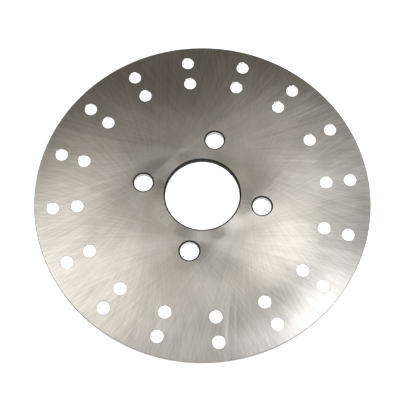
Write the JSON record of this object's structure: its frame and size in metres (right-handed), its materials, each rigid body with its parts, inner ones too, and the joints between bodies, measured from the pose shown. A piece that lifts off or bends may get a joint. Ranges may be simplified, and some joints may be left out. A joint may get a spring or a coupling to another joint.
{
  "type": "brake disc rotor",
  "caption": "Flat round brake disc with a centre bore, bolt holes round it and radial pairs of vent holes near its rim; turns with a wheel and is gripped by brake pads.",
  "frame": {"origin": "centre of the bore in the hub face, the lower of the two flat faces", "axes": "+Z along the axis the disc turns about, out of the face the bolt heads press on; +X through the centre of a bolt hole"},
  "size_m": [0.18, 0.18, 0.004],
  "materials": {
    "ground_steel": "rotary-ground stainless steel, fine arcs crossing near the radial direction"
  },
  "bodies": {
    "root": {"brake_disc": "ground_steel"}
  },
  "joints": []
}
